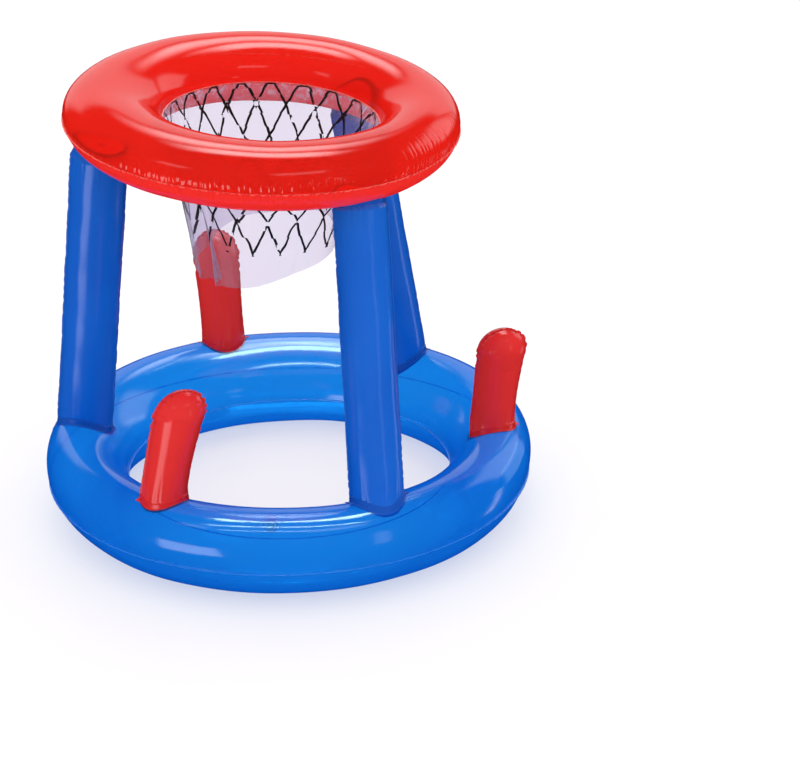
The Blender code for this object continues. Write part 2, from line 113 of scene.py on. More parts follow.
class Wire:
    """A socket in a finish's node tree, so that a finish is written as sums."""

    def __init__(self, tree, socket=None):
        self.tree = tree
        self.socket = socket

    def add(self, kind, settings=(), sockets=(), output=0):
        """A new node: its settings first, then its sockets; gives one of its outputs."""
        node = self.tree.nodes.new(kind)
        for name, value in dict(settings).items():
            setattr(node, name, value)
        for name, value in dict(sockets).items():
            if isinstance(value, Wire):
                self.tree.links.new(value.socket, node.inputs[name])
            else:
                node.inputs[name].default_value = value
        return Wire(self.tree, node.outputs[output] if node.outputs else None)

    def math(self, operation, *values):
        return self.add("ShaderNodeMath", {"operation": operation}, dict(enumerate(values)))

    def __add__(self, other):
        return self.math("ADD", self, other)

    def __sub__(self, other):
        return self.math("SUBTRACT", self, other)

    def __rsub__(self, other):
        return self.math("SUBTRACT", other, self)

    def __mul__(self, other):
        return self.math("MULTIPLY", self, other)

    def __pow__(self, other):
        return self.math("POWER", self, other)

    def __abs__(self):
        return self.math("ABSOLUTE", self)

    __radd__ = __add__
    __rmul__ = __mul__

    def below(self, limit):
        return self.math("LESS_THAN", self, limit)

    def fraction(self):
        return self.math("FRACT", self)

    def floor(self):
        return self.math("FLOOR", self)

    def at_most(self, other):
        return self.math("MINIMUM", self, other)

    def between(self, low, high):
        """0 below low, 1 above high, smooth between."""
        return self.add("ShaderNodeMapRange", {"interpolation_type": "SMOOTHSTEP"},
                        {"Value": self, "From Min": low, "From Max": high})

    def tint(self, first, second):
        """From the first colour where this is 0 to the second where it is 1."""
        return self.add("ShaderNodeMix", {"data_type": "RGBA"},
                        {0: self, 6: first, 7: second}, 2)


def bare_finish(name):
    """A new finish, and the wire that its nodes are added with."""
    finish = bpy.data.materials.new(name)
    finish.use_nodes = True
    finish.node_tree.nodes.clear()
    return finish, Wire(finish.node_tree)


def rectangle(name, x, y):
    """A mesh of one face with these half sizes."""
    mesh = bpy.data.meshes.new(name)
    mesh.from_pydata([(-x, -y, 0), (x, -y, 0), (x, y, 0), (-x, y, 0)], [], [(0, 1, 2, 3)])
    return mesh


BLACK = (0, 0, 0, 1)
WHITE = (1, 1, 1, 1)


def soft_card(name, around, rise, width, height, radiance, edge):
    """A glowing card that only gloss reflects, so the floor hides none that stands low. It
    fades over this share of its half width and half height."""
    x, y = width / 2, height / 2
    mesh = rectangle(name, x, y)
    glow, card = bare_finish(name)
    spot = card.add("ShaderNodeTexCoord", output="Object")
    shine = 1
    for axis, half in (("X", x), ("Y", y)):
        way = abs(card.add("ShaderNodeSeparateXYZ", {}, {0: spot}, axis))
        shine = (1 - (way * (1 / half)).between(1 - edge, 1)) * shine
    face = card.add("ShaderNodeBsdfPrincipled", {}, {
        "Base Color": BLACK, "Emission Strength": radiance,
        "Emission Color": shine.tint(BLACK, WHITE)})
    card.add("ShaderNodeOutputMaterial", {}, {"Surface": face})
    glow.cycles.emission_sampling = "NONE"
    mesh.materials.append(glow)
    obj = aimed(name, mesh, around, rise)
    for kind in ("camera", "diffuse", "transmission", "volume_scatter", "shadow"):
        setattr(obj, "visible_" + kind, False)


# Heading, rise, width, height, radiance and soft edge of each
for name, *sizes in (
        ("high rear card", 65, 47, 1.8, 1.3, 6, 0.8),
        ("higher rear card", 60, 67, 1.95, 1.04, 8.6, 0.7),
        ("rear wall", 66, 17.5, 4.8, 2.05, 1.25, 0.3),
        ("right wall", 10, 22, 2.4, 2.1, 1.6, 0.4),
        ("low left window", -158, -20, 1.6, 1, 3.6, 0.1),
        ("low right window", -11, -22, 0.3, 1.2, 2.5, 0.1),
        ("left high window", -166, 42, 0.7, 0.4, 1.5, 0.1),
        ("front strip", -75, -2, 0.35, 1.6, 1.2, 0.1),
        ("front high window", -88, 46, 1.2, 0.45, 1.5, 0.1)):
    soft_card(name, *sizes)
lamp("soft key", 75, 60, 2.4, 1.6, 0.1).visible_glossy = False
lamp("front fill", -113, 8, 2.4, 1.2, 1.3).visible_glossy = False

# These show in the base ring's gloss alone
BASE_GLOSS_COLOUR = (0.68, 1, 1)
base_gloss = bpy.data.collections.new("base_gloss")
for name, *sizes in (
        ("over base", 67, 84, 2, 1, 22), ("upper strip", -117, 65, 3, 0.14, 20),
        ("lower strip", -117, 48, 2.6, 0.12, 9), ("behind base", 69, 63, 2.2, 1, 7),
        ("beside base", 9, 0, 1.4, 1.4, 1.3)):
    strip = lamp(name, *sizes)
    strip.data.color = BASE_GLOSS_COLOUR
    strip.visible_diffuse = False
    strip.light_linking.receiver_collection = base_gloss

FLOOR_HALF = 14
FLOOR_SINK = 0.0004          # so that the base ring's flat band doesn't lie in it
FLOOR_COLOUR = (0.4, 0.39, 0.4, 1)
FLOOR_GLOW = (1, 0.995, 1, 1)
FLOOR_GLOW_STRENGTH = 0.5
floor_mesh = rectangle("studio_floor", FLOOR_HALF, FLOOR_HALF)
floor = bpy.data.objects.new("studio_floor", floor_mesh)
floor.location.z = -FLOOR_SINK
show(floor)
floor_paint = bpy.data.materials.new("studio_floor")
floor_paint.use_nodes = True
floor_sockets = floor_paint.node_tree.nodes["Principled BSDF"].inputs
for socket, value in (("Base Color", FLOOR_COLOUR), ("Roughness", 0.6),
                      ("Specular IOR Level", 0.2), ("Emission Color", FLOOR_GLOW),
                      ("Emission Strength", FLOOR_GLOW_STRENGTH)):
    floor_sockets[socket].default_value = value
floor_mesh.materials.append(floor_paint)
floor.visible_glossy = False


# Base ring. A blown tube of clear blue calendered vinyl, cut as two flat rings and welded
# together along an outer and an inner seam. Blowing it up shortens the outer seam, which
# puckers the skin beside it. It lies on a narrow flat band.

BASE_PLACE = Matrix.Translation((0, -0.0205, 0.0606))
BASE_STEPS = 1000            # round the ring
BASE_LIFT = 0.00115          # the skin stands this far off the solid, away from the seams
RING_COLUMNS = 44            # over one sheet, from seam to seam
SEAM_GAP = 0.0004            # half the gap between the two welded lips
RING_LIP = 0.0022            # the flat weld outside the seam
SEAM_REACH = 0.02            # how far from a seam the skin is held by it
FLUTTER_OUT, FLUTTER_UP = 0.8, 0.9   # how much of a pucker moves the lip
PUCKER_JITTER = 0.42         # in steps from pucker to pucker
VINYL_GLOSS = 0.04           # what a vinyl surface mirrors of a straight look
CLOUD_SCALE, SMEAR_SCALE, GRAIN_SCALE = 11, 70, 900
RELIEF_STRENGTH, RELIEF_DEPTH = 0.06, 0.0004
SLANT_POWER, SLANT_BODY = 2.2, 0.9   # how the body thickens in a slanting look
WELD_BODY = 0.4              # what a doubled weld adds to the body


def vinyl(name, colour, deep, through, body, scatter, roughness=0.09, pressed=None,
          gloss=VINYL_GLOSS):
    """A gloss vinyl sheet. Light goes straight through it, tinted, but for the share of
    its body, which colours and scatters it; a slanting look meets more body. Its gloss
    makes up for the clear share. Its welds have the pressed colour; on the rings that colour
    is lighter than the sheet, partly the pressed weld and partly painted light that lifts
    the shade between the welded lips."""
    mirror = math.sqrt(gloss / (body * (1 - scatter)))
    finish, start = bare_finish(name)
    place = start.add("ShaderNodeTexCoord", output="Object")
    cloud, smear, grain = (
        start.add("ShaderNodeTexNoise", {}, {"Vector": place, "Scale": scale, "Detail": detail})
        for scale, detail in ((CLOUD_SCALE, 2), (SMEAR_SCALE, 3), (GRAIN_SCALE, 1)))
    weld = start.add("ShaderNodeAttribute", {"attribute_name": "weld"}, {}, "Fac")
    facing = start.add("ShaderNodeLayerWeight", {}, {"Blend": 0.5}, "Facing")
    paint = (cloud.between(0.3, 0.75) * 0.5).tint(colour, deep)
    paint = weld.tint(paint, pressed or deep)
    relief = start.add("ShaderNodeBump", {}, {
        "Strength": RELIEF_STRENGTH, "Distance": RELIEF_DEPTH, "Height": smear + grain * 0.1})
    skin = start.add("ShaderNodeBsdfPrincipled", {}, {
        "Base Color": paint, "Roughness": roughness + smear * 0.06 + weld * 0.1,
        "IOR": (1 + mirror) / (1 - mirror), "Normal": relief})
    glow = start.add("ShaderNodeBsdfTranslucent", {}, {"Color": colour, "Normal": relief})
    solid = start.add("ShaderNodeMixShader", {}, {0: scatter, 1: skin, 2: glow})
    clear = start.add("ShaderNodeBsdfTransparent", {}, {"Color": through})
    share = body + (1 - body) * (facing ** SLANT_POWER) * SLANT_BODY + weld * WELD_BODY
    whole = start.add("ShaderNodeMixShader", {}, {0: share.at_most(1), 1: clear, 2: solid})
    start.add("ShaderNodeOutputMaterial", {}, {"Surface": whole})
    return finish


def blown_ring(radius, half_width, half_height, lean, flat, drops, pinch, hole):
    """Sizes of one ring, with the section angles of its outer and inner seam."""
    width = math.sqrt(half_width ** 2 - lean ** 2)
    rest = half_height * math.sqrt(1 - (flat / width) ** 2)
    reach = radius + half_width
    return SimpleNamespace(
        radius=radius, half_width=half_width, half_height=half_height, lean=lean, rest=rest,
        pinch=pinch, hole=hole, reach=reach, length=2 * math.pi * reach,
        outside=-math.asin(drops[0] / half_height),
        inside=math.pi + math.asin(drops[1] / half_height))


def ring_points(ring, around, angle, lip=0):
    """Points of the ring's skin for arrays of headings and section angles."""
    shift = (np.cos(around) * ring.hole[0] + np.sin(around) * ring.hole[1]) / 2
    width = np.sqrt((ring.half_width - shift) ** 2 - ring.lean ** 2)
    across = width * np.cos(angle) + ring.lean * np.sin(angle) + lip
    across = across - ring.pinch * np.maximum(-np.cos(angle), 0) ** 4
    up = np.maximum(ring.half_height * np.sin(angle), -ring.rest)
    reach = ring.radius + shift + across
    return np.stack(np.broadcast_arrays(np.cos(around) * reach, np.sin(around) * reach, up), -1)


def ring_depth(ring, points):
    """Below 1 inside the ring's skin, above 1 outside it."""
    around = np.arctan2(points[..., 1], points[..., 0])
    shift = (np.cos(around) * ring.hole[0] + np.sin(around) * ring.hole[1]) / 2
    width = np.sqrt((ring.half_width - shift) ** 2 - ring.lean ** 2)
    up = points[..., 2] / ring.half_height
    across = np.hypot(points[..., 0], points[..., 1]) - ring.radius - shift
    return np.hypot((across - ring.lean * up) / width, up)


def placed(points, matrix):
    """The points taken through a matrix."""
    grid = np.array(matrix)
    return points @ grid[:3, :3].T + grid[:3, 3]


def even(count, tight=0.6):
    """Shares from 0 to 1 that lie closer together at both ends."""
    share = np.linspace(0, 1, count)
    return share - tight * np.sin(2 * np.pi * share) / (2 * np.pi)


PLAIN, WELDED = 0.0, 1.0     # what a skin's weld mark says


def skin_piece(name, points, closed, across, weld, finish, flip=False):
    """A sheet through a grid of points, rows along and columns across. A closed one meets
    itself. Its UV map holds the share along and the metres across."""
    rows, columns = points.shape[:2]
    steps = rows if closed else rows - 1
    i = np.repeat(np.arange(steps), columns - 1)
    j = np.tile(np.arange(columns - 1), steps)
    corner_rows = np.stack([i, i + 1, i + 1, i], 1)
    corner_columns = np.stack([j, j, j + 1, j + 1], 1)
    if flip:
        corner_rows = corner_rows[:, ::-1]
        corner_columns = corner_columns[:, ::-1]
    mesh = bpy.data.meshes.new(name)
    faces = corner_rows % rows * columns + corner_columns
    mesh.from_pydata(points.reshape(-1, 3).tolist(), [], faces.tolist())
    spread = np.stack([corner_rows / steps, across[corner_columns]], -1)
    mesh.uv_layers.new(name="UVMap").data.foreach_set("uv", spread.reshape(-1))
    marks = mesh.attributes.new("weld", "FLOAT", "POINT")
    marks.data.foreach_set("value", np.broadcast_to(weld, (rows, columns)).reshape(-1).copy())
    mesh.shade_smooth()
    mesh.materials.append(finish)
    obj = bpy.data.objects.new(name, mesh)
    show(obj)
    return obj


def pucker_rows(seed, count, reach, half_widths, depths, reaches, sharpness=1.5):
    """Places from and to a reach along a seam, with half widths, depths, reaches and how
    fast the dents fade away from it."""
    draw = np.random.default_rng(seed)
    places = (np.arange(count) + draw.uniform(-PUCKER_JITTER, PUCKER_JITTER, count)) / count
    return np.stack([reach[0] + (reach[1] - reach[0]) * places,
                     draw.uniform(*half_widths, count), draw.uniform(*depths, count),
                     draw.uniform(*reaches, count), np.full(count, sharpness)], 1)


def bump(gap, half_width):
    """1 where the gap is 0, and falling away to both sides."""
    return np.exp(-(gap / half_width) ** 2)


def dents(along, length, from_seam, rows):
    """How deep the skin is drawn in by the puckers of one seam."""
    depth = np.zeros(np.broadcast(along, from_seam).shape)
    for place, half_width, deep, reach, sharpness in rows:
        gap = (along - place + length / 2) % length - length / 2
        fade = np.clip(1 - from_seam / reach, 0, 1) ** sharpness
        depth += deep * bump(gap, half_width) * fade
    return depth


def slow_waves(seed, around, angle, size):
    """The long soft swellings of a blown tube."""
    draw = np.random.default_rng(seed)
    wave = 0
    for turns in (2, 3, 5, 8, 13):
        wave = wave + np.sin(turns * around + draw.uniform(0, 6) + draw.uniform(-2, 2)
                             * np.sin(angle)) / math.sqrt(turns)
    return size * wave


UP = np.array([0, 0, 1.0])


def full_turn(steps):
    """Angles once round, as a column."""
    return np.arange(steps)[:, None] * 2 * math.pi / steps


def ring_sheet(name, ring, place, upper, steps, puckers, waves, lift, finish):
    """One of a ring's two sheets, with its lips, puckers and swellings. The lift is how far
    it stands off the solid."""
    start, end = ring.inside, ring.outside
    if not upper:
        start, end = ring.outside, ring.inside - 2 * math.pi
    side = 1 if upper else -1
    angle = start + (end - start) * even(RING_COLUMNS)
    angle = np.concatenate([[angle[0]] * 2, angle, [angle[-1]] * 2])
    lip = np.zeros(RING_COLUMNS + 4)
    lip[[0, 1, -2, -1]] = side * RING_LIP * np.array([-1, -0.5, 0.5, 1])
    around = full_turn(steps)
    skin = ring_points(ring, around, angle)
    step = np.linalg.norm(np.diff(skin[0], axis=0), axis=-1)
    across = np.concatenate([[0], np.cumsum(step)])
    if not upper:
        across = across[-1] - across
    from_outer = across.max() - across
    from_inner = across.max() - from_outer
    along = around * ring.reach
    free = np.clip(np.minimum(from_outer, from_inner) / SEAM_REACH, 0, 1)
    pull = slow_waves(waves[0], around, angle, waves[1]) * free
    outer = dents(along, ring.length, from_outer, puckers[0])
    inner = dents(along, ring.length, from_inner, puckers[1])
    flutter = dents(along, ring.length, 0 * from_outer, puckers[0])
    flutter = flutter - flutter.mean()
    drift = (np.abs(lip) / RING_LIP) * flutter
    lip_now = lip + inner - outer + drift * FLUTTER_OUT * np.sign(lip)
    skin = ring_points(ring, around, angle, lip_now)
    out = np.concatenate([np.cos(around), np.sin(around), 0 * around], -1)[:, None, :]
    swell = np.cos(angle)[..., None] * out + np.sin(angle)[..., None] * UP
    skin = skin + swell * pull[..., None]
    skin[..., 2] += side * (SEAM_GAP + (lift - SEAM_GAP) * free)
    skin[..., 2] += drift * FLUTTER_UP
    skin[..., 2] = np.maximum(skin[..., 2], side * lift - ring.rest)
    weld = np.clip(np.abs(lip) / RING_LIP * 2, 0, 1)
    obj = skin_piece(name, placed(skin, place), True, across, weld, finish)
    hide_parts(name.replace("_skin", "_sheet"))
    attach(obj, "float")
    return obj


BASE = blown_ring(radius=0.279, half_width=0.0525, half_height=0.0605, lean=0.0125,
                  flat=0.0095, drops=(0.0085, 0.0125), pinch=0.005, hole=(0, 0))
# Its welds are painted lighter than the sheet: partly the pressed weld, partly painted light that
# lifts the shade between the lips.
base_vinyl = vinyl("base_vinyl", (0.003, 0.18, 0.7, 1), (0.002, 0.14, 0.6, 1),
                   (0.12, 0.64, 1, 1), 0.38, 0.45, pressed=(0.1, 0.42, 0.95, 1))
base_puckers = (
    pucker_rows(3, 120, reach=(0, BASE.length), half_widths=(0.002, 0.006),
                depths=(0.0002, 0.0008), reaches=(0.004, 0.02)),
    pucker_rows(4, 30, reach=(0, BASE.length), half_widths=(0.003, 0.009),
                depths=(0.0001, 0.0004), reaches=(0.003, 0.012)))
for half in ("upper", "lower"):
    base_skin = ring_sheet("base_ring_" + half + "_skin", BASE, BASE_PLACE, half == "upper",
                           BASE_STEPS, base_puckers, (5, 0.0006), BASE_LIFT, base_vinyl)
    base_gloss.objects.link(base_skin)


# Hoop ring. The same kind of blown tube in clear red vinyl, flatter, with its hole a little
# off its middle. It has sagged aside on its soft pillars. Its outer seam is finely puckered.

HOOP_MIDDLE = (-0.02007, -0.01198, 0.5485)
HOOP_TURN = (0.06783, 0.03603, 0.00122)
HOOP_PLACE = Matrix.Translation(HOOP_MIDDLE) @ Euler(HOOP_TURN).to_matrix().to_4x4()
HOOP_STEPS = 1500
HOOP_LIFT = 0.0012
HOOP_HOLE = 0.014            # how far the hole is off the middle
HOOP_HOLE_HEADING = math.radians(5)


def heading(angle):
    return np.array([math.cos(angle), math.sin(angle), 0])


HOOP = blown_ring(radius=0.2005, half_width=0.0575, half_height=0.042, lean=0.0078,
                  flat=0.008, drops=(0.001, 0.003), pinch=0,
                  hole=heading(HOOP_HOLE_HEADING) * HOOP_HOLE)
# Its welds are painted lighter than the sheet: partly the pressed weld, partly painted light that
# lifts the shade between the lips.
hoop_vinyl = vinyl("hoop_vinyl", (0.78, 0.026, 0.013, 1), (0.7, 0.019, 0.009, 1),
                   (1, 0.15, 0.12, 1), 0.55, 0.4, pressed=(1, 0.3, 0.26, 1))
# A lighter copy of the hoop's vinyl for its lower sheet: painted light on the underside, which
# lies in shade. Its welds are painted lighter in the same way as the upper sheet's.
hoop_under_painted_light_vinyl = vinyl("hoop_under_painted_light_vinyl", (0.94, 0.055, 0.045, 1),
                         (0.88, 0.045, 0.036, 1), (1, 0.18, 0.15, 1), 0.85, 0.5,
                         pressed=(1, 0.3, 0.26, 1))
HOOP_TUCKS = (-2.72, -1.55)   # headings between which the seam is tucked most
HOOP_PLEATS = (-1.2, -0.25)   # headings between which long fine pleats run up from it
hoop_puckers = (
    np.concatenate([
        pucker_rows(11, 150, reach=(0, HOOP.length), half_widths=(0.0014, 0.0036),
                    depths=(0.0003, 0.0011), reaches=(0.005, 0.022)),
        pucker_rows(13, 34, reach=[a * HOOP.reach for a in HOOP_TUCKS],
                    half_widths=(0.0012, 0.0024), depths=(0.0009, 0.0019),
                    reaches=(0.0125, 0.0175), sharpness=0.35),
        pucker_rows(14, 38, reach=[a * HOOP.reach for a in HOOP_PLEATS],
                    half_widths=(0.0014, 0.0026), depths=(0.0009, 0.0022),
                    reaches=(0.02, 0.05), sharpness=0.9)]),
    pucker_rows(12, 40, reach=(0, HOOP.length), half_widths=(0.002, 0.006),
                depths=(0.0001, 0.0006), reaches=(0.003, 0.01)))
for half, finish in (("upper", hoop_vinyl), ("lower", hoop_under_painted_light_vinyl)):
    ring_sheet("hoop_ring_" + half + "_skin", HOOP, HOOP_PLACE, half == "upper", HOOP_STEPS,
               hoop_puckers, (7, 0.0005), HOOP_LIFT, finish)


# Pillars. Three tubes of deep blue vinyl, each of two long panels welded edge to edge. The
# ends are welded to the rings with a doubled, pressed band, which draws small creases
# into the tube, and the seams end there in pointed tails.

PILLARS = ("front", "right", "left")
PILLAR_HEADINGS = np.radians((-90, 30, 150))
PILLAR_HALF_WIDTHS = (0.0342, 0.0355, 0.0366)
PILLAR_HALF_DEPTH = 0.035
PILLAR_FOOT_SHIFT = 0.005    # outwards from the middle of the base ring's tube
PILLAR_FOOT_SINK = 0.036     # from the rings' skin to where a pillar's own line starts
PILLAR_HEAD_SINK = 0.038
PILLAR_HEAD_HEADINGS = np.radians((-76, 33, 161))
PILLAR_HEAD_SHIFTS = (-0.003, 0.011, 0.014)
PILLAR_ROWS = 121
PILLAR_ROUND = 0.11          # round one panel, for its UV map
PILLAR_PUCKER_STEP = 0.011
NECK_START = 0.048           # below the head's end
NECK_END = 0.0385
NECK_GIRTH = 0.88
CREASES = 11                 # at either end of a panel
CREASE_WIDTHS, CREASE_REACHES, CREASE_DEPTHS = (0.025, 0.07), (0.012, 0.04), (0.0004, 0.0012)
CROSS_FOLDS = 7              # fine folds across a panel
SEAM_HEADING = math.radians(-15)
TUBE_TURNS = 72              # steps round half a tube
TUBE_LIP = 0.0016
TUBE_SEARCH = 0.14           # how far a tube's skin looks for the ring it meets
HALVINGS = 26
BAND_HEIGHT = 0.009
BAND_START = 0.02            # a weld band starts to look for the ring's skin this far back
BAND_SEARCH = 0.16
BAND_ROUND = 0.02            # over its rows, for its UV map
TAIL_WIDTH, TAIL_OUT, TAIL_UP = 0.07, 0.0045, 0.002   # the band's points at the seams
RUFFLE = 0.0005


def unit(vector):
    return vector / np.linalg.norm(vector)


def spine_spot(ring, around, shift, up):
    """A point over or under the middle of the tube, in the ring's own frame."""
    out = heading(around)
    hole = (out[0] * ring.hole[0] + out[1] * ring.hole[1]) / 2
    return out * (ring.radius + hole + shift) + UP * up


def tube_axes(along):
    """Unit vectors along a tube, across it in its seam plane, and out of that plane."""
    along = unit(along)
    seam = heading(SEAM_HEADING)
    across = unit(seam - along * seam.dot(along))
    return along, across, np.cross(along, across)


def way_out(ring, place, start, way, reach):
    """How far a line from inside a ring runs to its skin, for an array of starts."""
    back = place.inverted()
    near = np.zeros(start.shape[:-1])
    far = near + reach
    for _ in range(HALVINGS):
        middle = (near + far) / 2
        inside = ring_depth(ring, placed(start + way * middle[..., None], back)) < 1
        near = np.where(inside, middle, near)
        far = np.where(inside, far, middle)
    return far


def weld_band(name, node, ring, place, centre, axes, half_width, half_depth, rises, seed,
              finish):
    """The pressed band round a tube's end: a flange on the ring's skin, then a sleeve."""
    along, across, out = axes
    turn = full_turn(4 * TUBE_TURNS)
    tail = bump(np.sin(turn), TAIL_WIDTH)
    draw = np.random.default_rng(seed)
    ruffle = sum(np.sin(k * turn + draw.uniform(0, 6)) for k in (9, 14, 23, 31)) / 4
    offset, rise = np.array(rises).T
    flange = np.clip(offset / offset.max(), 0, 1) ** 2
    offset = offset + flange * (tail * TAIL_OUT + ruffle * RUFFLE)
    rise = rise + tail * flange * TAIL_UP + ruffle * RUFFLE * (rise > 0.004)
    spots = (centre + across * ((half_width + offset) * np.cos(turn))[..., None]
             + out * ((half_depth + offset) * np.sin(turn))[..., None])
    spots = spots - along * BAND_START
    reach = way_out(ring, place, spots, along, BAND_SEARCH)
    points = spots + along * (reach + rise)[..., None]
    across_way = np.linspace(0, BAND_ROUND, len(rises))
    obj = skin_piece(name, points, True, across_way, WELDED, finish)
    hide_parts(node)
    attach(obj, "float")


# Rows of a weld band: how far out of the tube, and how far up along it
BAND_ROWS = ((0.0036, 0.0001), (0.0034, 0.0008), (0.0024, 0.0012), (0.0016, 0.0018),
             (0.0013, 0.0032), (0.0012, 0.0075), (0.0011, 0.0086), (0.0006, 0.0092),
             (-0.0006, 0.0092))
HEAD_ROWS = ((0.0018, 0.0001), (0.0017, 0.0008), (0.0015, 0.0013)) + BAND_ROWS[4:]

pillar_vinyl = vinyl("pillar_vinyl", (0.003, 0.115, 0.56, 1), (0.002, 0.09, 0.49, 1),
                     (0.03, 0.3, 0.9, 1), 0.95, 0.15, 0.19, gloss=0.032)
weld_blue = vinyl("weld_blue", (0.002, 0.085, 0.46, 1), (0.002, 0.065, 0.38, 1),
                  (0.02, 0.2, 0.8, 1), 0.95, 0.1, 0.15, gloss=0.016)
weld_red = vinyl("weld_red", (0.66, 0.012, 0.013, 1), (0.56, 0.008, 0.01, 1),
                 (0.9, 0.08, 0.08, 1), 0.95, 0.1, 0.12)


def seam_puckers(draw, way, turn, places, depths):
    """Small dents that run in from both edges of a panel, at these ways along it."""
    pull = np.zeros(np.broadcast(way, turn).shape)
    for edge in (0, math.pi):
        for place in places:
            place, size = place + draw.uniform(-0.003, 0.003), draw.uniform(0.0012, 0.0028)
            near = np.clip(1 - np.abs(turn - edge) / draw.uniform(0.25, 0.7), 0, 1) ** 1.3
            pull += draw.uniform(*depths) * bump(way - place, size) * near
    return pull


def half_tube(lip, width):
    """Angles, lips and metres across one panel of a tube, from edge to edge."""
    turn = np.linspace(0, math.pi, TUBE_TURNS + 1)
    turn = np.concatenate([[0], turn, [math.pi]])
    lips = np.zeros(TUBE_TURNS + 3)
    lips[[0, -1]] = lip
    across = np.concatenate([[-lip], np.linspace(0, width, TUBE_TURNS + 1), [width + lip]])
    return turn, lips, across


def pillar_panel(name, node, foot, head, axes, half_width, side, seed):
    """One long panel of a pillar, from weld to weld, with its creases."""
    along, across, out = axes
    length = np.linalg.norm(head - foot)
    turn, lip, across_way = half_tube(TUBE_LIP, PILLAR_ROUND)
    ring_wide = half_width * np.cos(turn)
    ring_deep = PILLAR_HALF_DEPTH * np.sin(turn) * side
    foot_line = foot + across * ring_wide[..., None] + out * ring_deep[..., None]
    start = way_out(BASE, BASE_PLACE, foot_line, along, TUBE_SEARCH)
    head_line = (head + across * (ring_wide * NECK_GIRTH)[..., None]
                 + out * (ring_deep * NECK_GIRTH)[..., None])
    end = length - way_out(HOOP, HOOP_PLACE, head_line, -along, TUBE_SEARCH)
    share = even(PILLAR_ROWS, 0.75)[:, None]
    rise = start + (end - start) * share
    above = np.maximum(rise - start, 0)
    below = np.maximum(end - rise, 0)
    neck = np.clip((length - NECK_END - rise) / (NECK_START - NECK_END), 0, 1)
    neck = neck * neck * (3 - 2 * neck)
    girth = NECK_GIRTH + (1 - NECK_GIRTH) * neck
    girth = girth * (1 - 0.02 * bump(above, 0.012) + 0.012 * bump(above - 0.045, 0.03))
    draw = np.random.default_rng(seed)
    pull = np.zeros(girth.shape)
    for ends in (above, below):
        for _ in range(CREASES):
            middle = draw.uniform(0, math.pi)
            wide = draw.uniform(*CREASE_WIDTHS)
            reach = draw.uniform(*CREASE_REACHES)
            pull += (draw.uniform(*CREASE_DEPTHS) * bump(turn - middle, wide)
                     * np.exp(-(ends / reach) ** 1.5))
    seam_draw = np.random.default_rng(seed // 2)
    pull += seam_puckers(seam_draw, rise, turn,
                         np.arange(0.05, length - 0.05, PILLAR_PUCKER_STEP), (0.0001, 0.001))
    for _ in range(CROSS_FOLDS):
        middle, height = draw.uniform(0.3, math.pi - 0.3), draw.uniform(0.08, 0.9) * length
        pull += (draw.uniform(0.0002, 0.0006) * bump(turn - middle, 0.12)
                 * bump(rise - height, 0.0025))
    pull += 0.00025 * np.sin(rise / 0.03 + 3 * turn) + 0.0002 * np.sin(rise / 0.011 - 2 * turn)
    wide = half_width * girth + lip - pull
    deep = PILLAR_HALF_DEPTH * girth - pull
    points = (foot + along * rise[..., None] + across * (wide * np.cos(turn))[..., None]
              + out * (side * (deep * np.sin(turn) + SEAM_GAP))[..., None])
    obj = skin_piece(name, points, False, across_way, lip / TUBE_LIP, pillar_vinyl,
                     side > 0)
    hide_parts(node)
    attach(obj, "float")


# The patch is painted lighter than the hoop's vinyl: painted light that lifts the shade where the
# pillar's end meets the hoop. Its dark rim is the pressed weld line.
lightened_patch_vinyl = vinyl("hoop_patch", (1, 0.05, 0.035, 1), (0.95, 0.04, 0.03, 1),
                    (1, 0.12, 0.1, 1), 0.97, 0.1, 0.2, (0.06, 0.001, 0.001, 1))
PATCH_TURNS = 96
PATCH_LIFT = 0.0026          # above the hoop's lower skin
PATCH_HOLE = 0.0022
PATCH_RIM = 0.0022           # the dark pressed line round its edge
PATCH_SEARCH = 0.06


def weld_patch(name, middle, radius):
    """The disc by which a pillar's end is welded to the hoop's lower sheet, seen in it,
    with its air hole."""
    turn = full_turn(PATCH_TURNS)
    reach = np.concatenate([[PATCH_HOLE, PATCH_HOLE + 0.0012],
                            np.linspace(0.006, radius - PATCH_RIM - 0.0006, 14),
                            [radius - PATCH_RIM, radius]])
    spots = np.stack(np.broadcast_arrays(middle[0] + reach * np.cos(turn),
                                         middle[1] + reach * np.sin(turn), 0.0), -1)
    fall = way_out(HOOP, Matrix.Identity(4), spots, -UP, PATCH_SEARCH)
    spots[..., 2] = PATCH_LIFT - np.minimum(fall, HOOP.rest)
    weld = np.full(reach.size, PLAIN)
    weld[[0, 1, -2, -1]] = WELDED
    obj = skin_piece(name, placed(spots, HOOP_PLACE), True, reach, weld, lightened_patch_vinyl)
    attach(obj, "float")


